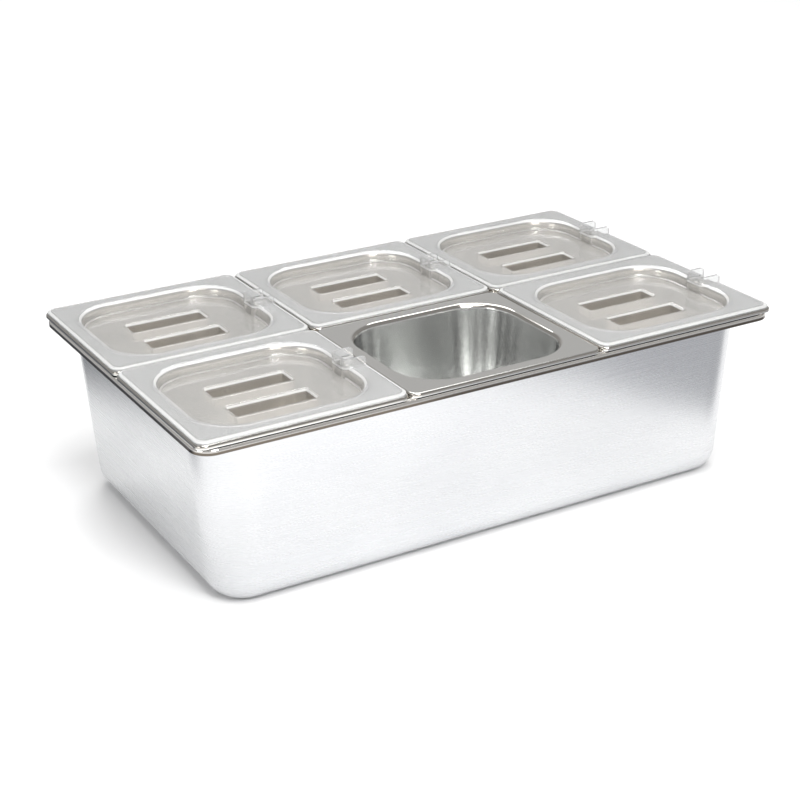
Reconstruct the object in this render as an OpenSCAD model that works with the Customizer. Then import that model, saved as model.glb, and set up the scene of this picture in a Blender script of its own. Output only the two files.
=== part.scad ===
// Ice serving tray for cold food. A full-size steel food tank holds crushed ice.
// Two cross bars hang in its mouth, and six small steel pans hang over the ice,
// three along and two deep. Five of them wear clear moulded lids with a sunk
// hand grip and a notch for a spoon. The front middle pan is open.
// The base stands on z = 0 with the plan centre at the origin. +X runs along
// the long side and +Y to the back. Sizes are in millimetres.

/* [Tank] */
// Length over the rim
tank_length = 530; // [480:5:600]
// Width over the rim
tank_width = 325; // [300:5:380]
// Height from the base to the top of the rim
tank_depth = 150; // [135:5:200]
// Thickness of the tank's sheet
tank_sheet = 0.8; // [0.6:0.1:1.2]
// Flat part of the rim, from its outer edge to the start of the roll-over
tank_flange = 9; // [8:0.5:12]
// Radius of the roll-over from the rim to the wall
tank_roll = 4; // [3:0.5:6]
// Slope of the wall, degrees from upright
tank_draft = 4.2; // [2:0.2:6]
// Corner radius of the mouth
tank_corner = 44; // [40:1:50]
// Radius where the wall meets the floor
tank_floor_radius = 20; // [10:1:26]
// Height of the turned-down edge of the rim
tank_edge_height = 5; // [4:0.5:8]
// Bend radius of the turned-down edge
tank_edge_radius = 2.4; // [1.5:0.1:3]
// Corner radius of the rim
tank_rim_corner = 16; // [10:1:24]

/* [Pans] */
// Free gap between the rims of two neighbours
pan_gap = 0.6; // [0.4:0.1:2]
// Height from a pan's base to the top of its rim
pan_depth = 100; // [65:5:110]
// Thickness of a pan's sheet
pan_sheet = 0.7; // [0.5:0.1:1]
// Clearance between a pan's wall and the tank's wall, at the mouth and its corners
pan_clearance = 1.2; // [0.8:0.1:3]
// Radius of the roll-over from the rim to the wall
pan_roll = 4; // [2.5:0.5:5]
// Slope of a pan's wall, degrees from upright
pan_draft = 5; // [4.6:0.2:8]
// Radius where a pan's wall meets its floor
pan_floor_radius = 10; // [6:1:14]
// Height of the turned-down edge of a pan's rim
pan_edge_height = 3.2; // [2.6:0.1:5]
// Bend radius of that edge
pan_edge_radius = 1.8; // [1.2:0.1:2.4]
// Corner radius of a pan's rim
pan_rim_corner = 8; // [5:0.5:12]

/* [Cross bars] */
// Width of a bar's top
bar_width = 16; // [12:1:20]
// Depth of a bar's channel
bar_depth = 12; // [8:1:20]
// Thickness of a bar's sheet, which sets how far the pans lie above the rim
bar_sheet = 1; // [0.8:0.1:1.5]
// Bend radius along a bar's edges
bar_radius = 1.6; // [1.2:0.1:2]
// Gap between the end of a bar's channel and the tank's wall
bar_clearance = 3; // [1:0.5:8]

/* [Lids] */
// Gap between a lid's flange and the rim it lies on
lid_seat = 0.3; // [0.2:0.05:0.5]
// Wall of the moulding
lid_wall = 2.5; // [2:0.1:2.5]
// How far a lid's edge stays inside the edge of the pan's rim
lid_inset = 1; // [0.5:0.1:2]
// Corner radius of a lid's edge
lid_corner = 9; // [7:0.5:12]
// Width of the lower step round a lid's edge
lid_step_width = 3; // [2:0.5:4]
// Drop of that step
lid_step_drop = 0.9; // [0.5:0.1:1.2]
// How far the sunk part stays inside the pan's mouth
lid_clearance = 2.5; // [2:0.1:4]
// Depth of the sunk part
lid_sink = 9.5; // [8:0.5:12]
// Radius of the roll-over into the sunk part
lid_roll = 5; // [4:0.5:6]
// Slope of the sunk part's wall, degrees from upright
lid_draft = 10; // [5:1:15]
// Radius where that wall meets the sunk floor
lid_floor_radius = 3; // [2:0.5:4]

/* [Hand grip] */
// Length of the two finger wells
well_length = 72; // [60:1:80]
// Width of one finger well
well_width = 24; // [18:0.5:26]
// Depth of the finger wells below the sunk floor
well_depth = 10; // [8:0.5:12]
// Width of the grip left standing between the wells
grip_width = 17.5; // [14:0.5:24]
// Corner radius of a well
well_corner = 4.2; // [4:0.1:7]
// Slope of a well's walls, degrees from upright
well_draft = 5; // [2:0.5:7]
// Roll-over radius of a well's top edge
well_roll = 2.6; // [1:0.1:2.9]
// Radius where a well's wall meets its floor
well_radius = 0.6; // [0.3:0.1:0.9]

/* [Spoon notch] */
// Clear width of the notch
notch_width = 19; // [14:1:26]
// How far the notch reaches in from the lid's edge
notch_reach = 18; // [14:0.5:20]
// Corner radius inside the notch
notch_corner = 3; // [2:0.5:5]
// Height of the collar above the lid's flange
collar_height = 6.3; // [4:0.1:10]
// How far the collar stops short of the lid's edge
collar_inset = 0.6; // [0.3:0.1:2]
// Rounding of the collar's outer top corners
collar_radius = 2.5; // [1:0.5:3]

/* [Hidden] */
$fn = 64;
eps = 0.01;
over = 1;
lap = 1;
least_bend = 0.1;
columns = 3;
rows = 2;

// Places of the six cells
pitch_x = tank_length / columns;
pitch_y = tank_width / rows;
function cell(column, row) = [column * pitch_x, (row - 0.5) * pitch_y, 0];

// Heights of the stack: rim, bar, pan, lid
rim_top = tank_depth;
bar_top = rim_top + bar_sheet;
pan_top = bar_top + pan_edge_height;
lid_base = pan_top + lid_seat;
lid_top = lid_base + lid_wall;
sunk_floor = lid_top - lid_sink;
well_floor = sunk_floor - well_depth;
collar_top = lid_top + collar_height;

// Tank
mouth_x = tank_length / 2 - tank_flange;
mouth_y = tank_width / 2 - tank_flange;
tank_floor = tank_sheet;

// Pans
pan_half_x = (pitch_x - pan_gap) / 2;
pan_half_y = (pitch_y - pan_gap) / 2;
pan_flange = tank_flange + tank_roll + pan_clearance + pan_sheet - pan_roll - pan_gap / 2;
pan_mouth_x = pan_half_x - pan_flange;
pan_mouth_y = pan_half_y - pan_flange;
pan_corner = tank_corner - tank_roll - pan_clearance - pan_sheet + pan_roll;
pan_floor = pan_top - pan_depth + pan_sheet;

// Lids
lid_half_x = pan_half_x - lid_inset;
lid_half_y = pan_half_y - lid_inset;
sunk_half_x = pan_mouth_x - lid_clearance;
sunk_half_y = pan_mouth_y - lid_clearance;
sunk_corner = pan_corner - lid_clearance;
lid_step = lid_wall - lid_step_drop;
well_y = (grip_width + well_width) / 2;
notch_x = lid_half_x - notch_reach;

// Inner foot of a wall: where its floor radius starts, measured from the corner
// axis. The wall starts tangent to the roll-over and slopes in going down.
function foot_x(corner, top, floor, draft, roll, radius) =
    corner - roll * cos(draft)
    - (top - roll * (1 - sin(draft)) - floor - radius * (1 - sin(draft))) * tan(draft)
    - radius * cos(draft);

// Section of a pressed or moulded wall and its floor, from the corner axis at
// x = 0 to x = corner, where the flat rim starts to roll over. It runs on into
// the rim, which it is one piece with.
module wall_section(corner, top, floor, draft, roll, radius, wall) {
    difference() {
        inside_section(corner, top, floor, draft, roll, radius, wall, 0);
        inside_section(corner, top, floor, draft, roll, radius, 0, over);
    }
    translate([corner, top - wall])
        square([lap, wall]);
}

// Everything inside one face of that wall. grow = 0 gives the space in it, and
// grow = the wall's thickness gives all that lies inside its outer face. Where
// the wall is thicker than the roll-over, the outer face has a sharp bend, which
// starts further out.
module inside_section(corner, top, floor, draft, roll, radius, grow, rise) {
    foot = foot_x(corner, top, floor, draft, roll, radius);
    turn = [cos(draft), -sin(draft)];
    bend = max(roll - grow, least_bend);
    start = corner + (bend + grow - roll) * (1 - sin(draft)) / cos(draft);
    bend_axis = [start, top - grow - bend];
    foot_axis = [foot, floor + radius];
    intersection() {
        translate([0, floor - grow - over])
            square([start + over, top - floor + grow + 3 * over]);
        difference() {
            union() {
                polygon([[0, floor - grow], [foot, floor - grow],
                         foot_axis + (radius + grow) * turn,
                         bend_axis - bend * turn,
                         [start, top - grow], [start, top + rise], [0, top + rise]]);
                translate(foot_axis)
                    circle(r = radius + grow);
            }
            translate(bend_axis)
                circle(r = bend);
        }
    }
}

// Section of a flat rim with a rounded edge, solid down to its lower edge
module rim_section(corner, top, height, radius) {
    translate([0, top - height]) {
        square([corner - radius, height]);
        square([corner, height - radius]);
        intersection() {
            square([corner, height]);
            translate([corner - radius, height - radius])
                circle(r = radius);
        }
    }
}

// Rounded rectangle, the plan of a mouth
module mouth_plan(half_x, half_y, corner) {
    square([2 * (half_x - corner), 2 * half_y], center = true);
    square([2 * half_x, 2 * (half_y - corner)], center = true);
    for (x = [-1, 1])
        for (y = [-1, 1])
            translate([x * (half_x - corner), y * (half_y - corner)])
                circle(r = corner);
}

// Carries a section round a rounded rectangle: along its sides and round its
// corners. A plate from low to high fills the middle.
module swept(half_x, half_y, corner, low, high) {
    run_x = half_x - corner;
    run_y = half_y - corner;
    rotate([90, 0, 90])
        linear_extrude(2 * run_x, center = true)
            translate([-run_y, low])
                square([2 * run_y, high - low]);
    for (turn = [0, 180])
        rotate([0, 0, turn]) {
            translate([run_x, 0, 0])
                rotate([90, 0, 0])
                    linear_extrude(2 * run_y, center = true)
                        children();
            translate([0, run_y, 0])
                rotate([90, 0, 90])
                    linear_extrude(2 * run_x, center = true)
                        children();
            translate([run_x, run_y, 0])
                rotate_extrude(angle = 90)
                    children();
            translate([run_x, -run_y, 0])
                rotate([0, 0, -90])
                    rotate_extrude(angle = 90)
                        children();
        }
}

// A pan pressed from one sheet: rim with a turned-down edge, roll-over, sloped
// wall, rounded foot and flat floor
module pressed_pan(rim_x, rim_y, rim_corner, edge_height, edge_radius,
                   half_x, half_y, corner, top, floor, draft, roll, radius, sheet) {
    difference() {
        swept(rim_x, rim_y, rim_corner, top - sheet, top)
            difference() {
                rim_section(rim_corner, top, edge_height, edge_radius);
                rim_section(rim_corner - sheet, top - sheet, edge_height, edge_radius - sheet);
            }
        translate([0, 0, top - sheet - over])
            linear_extrude(sheet + 2 * over)
                mouth_plan(half_x, half_y, corner);
    }
    swept(half_x, half_y, corner, floor - sheet, floor)
        wall_section(corner, top, floor, draft, roll, radius, sheet);
}

module tank() {
    color("gainsboro")
        pressed_pan(tank_length / 2, tank_width / 2, tank_rim_corner,
                    tank_edge_height, tank_edge_radius, mouth_x, mouth_y, tank_corner,
                    rim_top, tank_floor, tank_draft, tank_roll, tank_floor_radius,
                    tank_sheet);
}

module pan(column, row) {
    color("silver")
        translate(cell(column, row))
            pressed_pan(pan_half_x, pan_half_y, pan_rim_corner,
                        pan_edge_height, pan_edge_radius, pan_mouth_x, pan_mouth_y,
                        pan_corner, pan_top, pan_floor, pan_draft, pan_roll,
                        pan_floor_radius, pan_sheet);
}

// Section of a cross bar's channel, open below
module bar_section() {
    difference() {
        translate([0, -bar_depth]) {
            translate([-bar_width / 2 + bar_radius, 0])
                square([bar_width - 2 * bar_radius, bar_depth]);
            translate([-bar_width / 2, 0])
                square([bar_width, bar_depth - bar_radius]);
            for (side = [-1, 1])
                translate([side * (bar_width / 2 - bar_radius), bar_depth - bar_radius])
                    circle(r = bar_radius);
        }
        translate([-bar_width / 2 + bar_sheet, -bar_depth - over])
            square([bar_width - 2 * bar_sheet, bar_depth + over - bar_sheet]);
    }
}

// A cross bar: channel between the walls, and a flat tongue at each end that
// lies on the tank's rim. The pans' edges lie on top of it.
module crossbar(side) {
    channel = mouth_y - tank_roll - bar_clearance;
    reach = tank_width / 2 - tank_edge_radius;
    color("lightsteelblue")
        translate([side * pitch_x / 2, 0, bar_top]) {
            rotate([90, 0, 0])
                linear_extrude(2 * channel, center = true)
                    bar_section();
            translate([-bar_width / 2 + bar_radius, -reach, -bar_sheet])
                cube([bar_width - 2 * bar_radius, 2 * reach, bar_sheet]);
        }
}

// Section of a lid's flat flange with the lower step round its edge
module lid_edge_section() {
    translate([0, lid_base]) {
        square([lid_corner - lid_step_width, lid_wall]);
        square([lid_corner, lid_step / 2]);
        square([lid_corner - lid_step / 2, lid_step]);
        translate([lid_corner - lid_step / 2, lid_step / 2])
            circle(r = lid_step / 2);
    }
}

// Plan of the notch, open to the lid's edge. grow = wall gives its collar.
module notch_plan(grow, reach) {
    radius = notch_corner + grow;
    width = notch_width + 2 * grow;
    start = notch_x - grow;
    translate([start + radius, -width / 2])
        square([reach - start - radius, width]);
    translate([start, -width / 2 + radius])
        square([radius + eps, width - 2 * radius]);
    for (side = [-1, 1])
        translate([start + radius, side * (width / 2 - radius)])
            circle(r = radius);
}

// Side profile of the collar: it grows out of the lid's flange with rounded outer
// corners, and inside the pan's mouth it reaches down into the sunk floor.
module collar_profile() {
    reach = lid_half_x - collar_inset;
    root = lid_base + lid_step / 2;
    height = collar_top - root;
    translate([0, root]) {
        square([reach - collar_radius, height]);
        square([reach, height - collar_radius]);
        translate([reach - collar_radius, height - collar_radius])
            circle(r = collar_radius);
    }
    translate([sunk_half_x - sunk_corner, 0])
        inside_section(sunk_corner, lid_top, sunk_floor, lid_draft, lid_roll,
                       lid_floor_radius, lid_wall / 2, 0);
}

// A lid moulded in one piece: flange, sunk part, two finger wells with the grip
// between them, and the spoon notch with its collar
module lid(column, row) {
    color([0.78, 0.8, 0.82, 0.45])
        translate(cell(column, row))
            difference() {
                union() {
                    difference() {
                        swept(lid_half_x, lid_half_y, lid_corner, lid_base, lid_top)
                            lid_edge_section();
                        translate([0, 0, lid_base - over])
                            linear_extrude(lid_wall + 2 * over)
                                mouth_plan(sunk_half_x, sunk_half_y, sunk_corner);
                    }
                    difference() {
                        swept(sunk_half_x, sunk_half_y, sunk_corner,
                              sunk_floor - lid_wall, sunk_floor)
                            wall_section(sunk_corner, lid_top, sunk_floor, lid_draft,
                                         lid_roll, lid_floor_radius, lid_wall);
                        for (side = [-1, 1])
                            translate([0, side * well_y, sunk_floor - lid_wall - over])
                                linear_extrude(lid_wall + 2 * over)
                                    mouth_plan(well_length / 2, well_width / 2, well_corner);
                    }
                    for (side = [-1, 1])
                        translate([0, side * well_y, 0])
                            swept(well_length / 2, well_width / 2, well_corner,
                                  well_floor - lid_wall, well_floor)
                                wall_section(well_corner, sunk_floor, well_floor, well_draft,
                                             well_roll, well_radius, lid_wall);
                    intersection() {
                        translate([0, 0, sunk_floor - lid_wall])
                            linear_extrude(collar_top - sunk_floor + lid_wall)
                                notch_plan(lid_wall, lid_half_x);
                        translate([0, lid_half_y, 0])
                            rotate([90, 0, 0])
                                linear_extrude(2 * lid_half_y)
                                    collar_profile();
                    }
                }
                translate([0, 0, well_floor])
                    linear_extrude(collar_top - well_floor + over)
                        notch_plan(0, lid_half_x + over);
            }
}

tank();
crossbar(-1);  // crossbar_left
crossbar(1);  // crossbar_right
pan(-1, 0);  // pan_front_left
pan(0, 0);  // pan_front_middle
pan(1, 0);  // pan_front_right
pan(-1, 1);  // pan_back_left
pan(0, 1);  // pan_back_middle
pan(1, 1);  // pan_back_right
lid(-1, 0);  // lid_front_left
lid(1, 0);  // lid_front_right
lid(-1, 1);  // lid_back_left
lid(0, 1);  // lid_back_middle
lid(1, 1);  // lid_back_right
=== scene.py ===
import math

import bmesh
import bpy
from mathutils import Matrix, Vector


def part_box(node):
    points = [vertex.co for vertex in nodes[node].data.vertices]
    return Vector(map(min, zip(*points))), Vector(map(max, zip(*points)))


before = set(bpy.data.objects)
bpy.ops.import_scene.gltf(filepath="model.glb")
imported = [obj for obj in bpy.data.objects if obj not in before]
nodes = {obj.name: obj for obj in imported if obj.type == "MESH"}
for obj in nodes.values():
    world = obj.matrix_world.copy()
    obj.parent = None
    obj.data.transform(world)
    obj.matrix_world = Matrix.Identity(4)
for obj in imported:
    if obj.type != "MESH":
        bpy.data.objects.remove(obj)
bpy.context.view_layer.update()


# The tank
# A full-size catering tank, deep-drawn in one piece from stainless sheet. Its
# walls keep the satin grain of the belt that finished them, and its rim and
# turned-down edge are polished. The lowest band of that edge is painted dark
# brown, a painted shade and painted reflection of the dark room under the rim.
class Value:
    """A number, colour or vector that varies over a surface: one output of a shader node."""

    def __init__(self, tree, socket):
        self.tree = tree
        self.socket = socket

    def node(self, kind, settings, inputs, output=0):
        """Adds a node with its settings, then its inputs, and returns one of its outputs."""
        added = self.tree.nodes.new(kind)
        for name, setting in settings.items():
            setattr(added, name, setting)
        for name, given in inputs.items():
            if isinstance(given, Value):
                self.tree.links.new(given.socket, added.inputs[name])
            else:
                added.inputs[name].default_value = given
        return Value(self.tree, added.outputs[output])

    def math(self, operation, *operands):
        return self.node("ShaderNodeMath", {"operation": operation}, dict(enumerate(operands)))

    def __add__(self, other):
        return self.math("ADD", self, other)

    def __radd__(self, other):
        return self.math("ADD", other, self)

    def __sub__(self, other):
        return self.math("SUBTRACT", self, other)

    def __rsub__(self, other):
        return self.math("SUBTRACT", other, self)

    def __mul__(self, other):
        return self.math("MULTIPLY", self, other)

    def __rmul__(self, other):
        return self.math("MULTIPLY", other, self)

    def noise(self, waves, detail):
        """Noise on the piece's own coordinates, with so many waves a metre along each axis."""
        stretched = self.node("ShaderNodeMapping", {}, {"Vector": self, "Scale": waves})
        return self.node("ShaderNodeTexNoise", {}, {"Vector": stretched, "Scale": 1.0,
                                                    "Detail": detail, "Roughness": 0.55})

    def along(self, axis):
        """The coordinate along one axis, in metres."""
        return self.node("ShaderNodeSeparateXYZ", {}, {"Vector": self}, axis)

    def ramp(self, low, high):
        """0 below low and 1 above high, smooth between them."""
        return self.node("ShaderNodeMapRange", {"interpolation_type": "SMOOTHSTEP"},
                         {"Value": self, "From Min": low, "From Max": high})

    def band(self, low, high, fade):
        """0 outside low and high and 1 inside, with a fade at each end."""
        return self.ramp(low, low + fade) * (1 - self.ramp(high - fade, high))

    def blend(self, first, second):
        """The first colour where this is 0 and the second where it is 1."""
        return self.node("ShaderNodeMix", {"data_type": "RGBA"},
                         {"Factor": self, "A": first, "B": second}, 2)

    def bump(self, strength, depth):
        """The normal of a surface with this as its relief, so many metres deep."""
        return self.node("ShaderNodeBump", {}, {"Height": self, "Strength": strength,
                                                "Distance": depth})


def new_material(name):
    """A new material, its Principled shader and the piece's own coordinates."""
    material = bpy.data.materials.new(name)
    material.use_nodes = True
    tree = material.node_tree
    shader = tree.nodes["Principled BSDF"]
    place = tree.nodes.new("ShaderNodeTexCoord")
    return material, shader, Value(tree, place.outputs["Object"])


def feed(shader, name, value):
    value.tree.links.new(value.socket, shader.inputs[name])


def dress(names, material):
    for name in names:
        mesh = nodes[name].data
        mesh.materials.clear()
        mesh.materials.append(material)


def steel(name, pale, dark, rim, painted_lip_shade, satin, polish, polish_from, polish_to):
    """Satin sheet with a fine level grain, polished above a height.

    pale and dark are the sheet's colours, rim that of the polished part and
    painted_lip_shade that of its lowest edge, a painted shade and painted reflection
    under the rim. satin and polish are the roughness of the two parts.
    """
    grain_waves, drift_waves = (9, 9, 1400), (7, 7, 11)
    lip_height, lip_fade = 0.0014, 0.0014
    material, shader, place = new_material(name)
    height = place.along("Z")
    grain = place.noise(grain_waves, 3)
    drift = place.noise(drift_waves, 2)
    polished = height.ramp(polish_from, polish_to)
    above_lip = height.ramp(polish_to + lip_height, polish_to + lip_height + lip_fade)
    sheet = (0.25 * grain + 0.75 * drift).ramp(0.3, 0.7).blend(dark, pale)
    # The lowest band of the polished edge gets the lip colour, a painted shade and painted
    # reflection.
    feed(shader, "Base Color", polished.blend(sheet, above_lip.blend(painted_lip_shade, rim)))
    streaked = satin * (0.85 + 0.3 * grain)
    feed(shader, "Roughness", streaked * (1 - polished) + polished * polish)
    feed(shader, "Normal", (grain * (1 - polished)).bump(strength=0.045, depth=0.00004))
    shader.inputs["Metallic"].default_value = 1.0
    return material


tank_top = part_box("tank")[1].z
tank_steel = steel("tank_steel", pale=(0.68, 0.685, 0.695, 1), dark=(0.635, 0.64, 0.655, 1),
                   rim=(0.84, 0.815, 0.78, 1), painted_lip_shade=(0.14, 0.12, 0.1, 1), satin=0.27,
                   polish=0.09, polish_from=tank_top - 0.0056, polish_to=tank_top - 0.0046)
dress(["tank"], tank_steel)

# The cross bars
# Two folded channels of the same sheet under the seams between the pans. Their
# flat tongues lie on the tank's rim.
dress(["crossbar_left", "crossbar_right"], tank_steel)

# The pans
# Six sixth-size pans, each drawn from one sheet. They are brighter than the
# tank, with a polished turned-down edge whose lowest band is painted a darker
# brown as painted shade under the rim.
pan_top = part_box("pan_front_middle")[1].z
pan_steel = steel("pan_steel", pale=(0.86, 0.865, 0.855, 1), dark=(0.80, 0.805, 0.795, 1),
                  rim=(0.84, 0.84, 0.82, 1), painted_lip_shade=(0.5, 0.475, 0.44, 1), satin=0.2,
                  polish=0.08, polish_from=pan_top - 0.003, polish_to=pan_top - 0.0022)
dress([name for name in nodes if name.startswith("pan_")], pan_steel)


# The lids
# Five lids moulded in one piece from clear polycarbonate. The sunk part is foggy,
# and the wells in it are tinted darker and warmer as painted shade from the pan
# below. The rolled edges of both get a painted highlight, a whitened shader mixed
# in. Each lid lies just above its pan's rim.
def clear_plastic(flange_top, sunk_top):
    """Tinted plastic that lets most light through, with wells tinted darker as painted shade and
    a painted highlight on its rolled edges.
    """
    flange_colour = (0.95, 0.955, 0.955, 1)
    sunk_colour = (1, 0.98, 0.945, 1)
    # The wells' darker, warmer tint is painted shade from the pan interior below.
    well_shade_colour = (0.84, 0.79, 0.72, 1)
    haze_waves, ripple_waves = (60, 60, 60), (35, 35, 35)
    material, shader, place = new_material("clear_lid")
    height = place.along("Z")
    haze = place.noise(haze_waves, 3)
    ripple = place.noise(ripple_waves, 1)
    in_flange = height.ramp(flange_top - 0.0034, flange_top - 0.0027)
    in_well = 1 - height.ramp(sunk_top - 0.0033, sunk_top - 0.0027)
    foggy_and_shaded = in_well.blend(sunk_colour, well_shade_colour)
    feed(shader, "Base Color", in_flange.blend(foggy_and_shaded, flange_colour))
    feed(shader, "Roughness", 0.05 + 0.06 * haze)
    feed(shader, "Normal", ripple.bump(strength=0.05, depth=0.0002))
    shader.inputs["Transmission Weight"].default_value = 0.78
    shader.inputs["IOR"].default_value = 1.58

    # A white shader mixed onto the rolled edges paints a highlight along them.
    painted_highlight_share = 0.4
    roll_low, roll_high, roll_fade = 0.0022, 0.0003, 0.0004
    tree = material.node_tree
    painted_highlight_shader = tree.nodes.new("ShaderNodeBsdfPrincipled")
    painted_highlight_shader.inputs["Base Color"].default_value = (0.97, 0.97, 0.96, 1)
    painted_highlight_shader.inputs["Roughness"].default_value = 0.15
    on_roll = (height.band(flange_top - roll_low, flange_top - roll_high, roll_fade)
               + height.band(sunk_top - roll_low, sunk_top - roll_high, roll_fade))
    mixed = on_roll.node("ShaderNodeMixShader", {}, {
        0: painted_highlight_share * on_roll, 1: Value(tree, shader.outputs["BSDF"]),
        2: Value(tree, painted_highlight_shader.outputs["BSDF"])})
    tree.links.new(mixed.socket, tree.nodes["Material Output"].inputs["Surface"])
    return material


lid_seat = 0.0003
lid_wall = 0.0025
lid_sink = 0.0095
lid_top = pan_top + lid_seat + lid_wall
dress([name for name in nodes if name.startswith("lid_")],
      clear_plastic(lid_top, lid_top - lid_sink))

# The studio
# A pale floor under wide soft lights, and the photograph's camera. Beyond the
# left and right edges of the picture the floor is painted darker, with soft ends,
# for the tank's left wall and right end to mirror. Other views show this.
floor_reach = 12
floor_mesh = bmesh.new()
bmesh.ops.create_grid(floor_mesh, x_segments=1, y_segments=1, size=floor_reach)
floor_data = bpy.data.meshes.new("floor")
floor_mesh.to_mesh(floor_data)
floor_mesh.free()
floor = bpy.data.objects.new("floor", floor_data)
bpy.context.scene.collection.objects.link(floor)
floor_paint, floor_shader, floor_place = new_material("floor_paint")
across, back = floor_place.along("X"), floor_place.along("Y")
left_colour = (0.12, 0.125, 0.14, 1)
right_colour = (0.36, 0.365, 0.38, 1)
left_slope, right_slope = 0.31, 0.83
left_shade = ((left_slope * back - across).ramp(0.378, 0.45) * back.ramp(-0.1, 0.1)
              * across.ramp(-1.2, -0.7))
right_shade = ((across - right_slope * back).ramp(0.435, 0.52) * (1 - back.ramp(-0.22, -0.12))
               * (1 - across.ramp(0.7, 1.2)))
mottle = floor_place.noise((3, 3, 3), 2).ramp(0.3, 0.7)
pale = mottle.blend((0.9, 0.9, 0.9, 1), (0.92, 0.92, 0.92, 1))
feed(floor_shader, "Base Color",
     right_shade.blend(left_shade.blend(pale, left_colour), right_colour))
floor_shader.inputs["Roughness"].default_value = 0.9
floor_data.materials.append(floor_paint)


def soft_light(name, place, aim, size, watts):
    data = bpy.data.lights.new(name, "AREA")
    data.shape = "RECTANGLE"
    data.size, data.size_y = size
    data.energy = watts
    light = bpy.data.objects.new(name, data)
    light.location = place
    light.rotation_euler = (Vector(aim) - Vector(place)).to_track_quat("-Z", "Y").to_euler()
    bpy.context.scene.collection.objects.link(light)


soft_light("near_light", (-0.2, -0.9, 2.6), aim=(-0.1, -0.55, 0), size=(1.6, 1.6), watts=45)
soft_light("left_light", (-1.1, -0.35, 0.5), aim=(-0.34, -0.06, 0), size=(0.4, 0.4), watts=2)
soft_light("far_light", (0.9, 2.0, 2.6), aim=(0.9, 2.0, 0), size=(1.8, 1.8), watts=48)
soft_light("back_light", (1.5, 2.65, 1.5), aim=(0, 0, 0.16), size=(2.6, 2.1), watts=2.2)
soft_light("front_light", (-0.15, -1.05, 0.85), aim=(-0.05, -0.36, 0), size=(0.5, 0.5), watts=8.5)
world = bpy.data.worlds.new("studio")
world.use_nodes = True
background = world.node_tree.nodes["Background"]
background.inputs["Color"].default_value = (1, 1, 1, 1)
background.inputs["Strength"].default_value = 0.43
bpy.context.scene.world = world
bpy.context.scene.view_settings.view_transform = "Standard"

camera_data = bpy.data.cameras.new("camera")
camera_data.lens = 78.57
camera_data.sensor_width = 36
camera_data.clip_start = 0.05
camera_data.clip_end = 60
camera = bpy.data.objects.new("camera", camera_data)
camera_place = Vector((-0.692, -1.208, tank_top + 0.525))
heading, dip, roll = math.radians(29.54), math.radians(23.47), math.radians(-1.05)
forward = Vector((math.sin(heading) * math.cos(dip), math.cos(heading) * math.cos(dip),
                  -math.sin(dip)))
level = Vector((math.cos(heading), -math.sin(heading), 0))
upright = level.cross(forward)
right = math.cos(roll) * level + math.sin(roll) * upright
up = math.cos(roll) * upright - math.sin(roll) * level
turned = Matrix((right, up, -forward)).transposed().to_4x4()
camera.matrix_world = Matrix.Translation(camera_place) @ turned
bpy.context.scene.collection.objects.link(camera)
bpy.context.scene.camera = camera
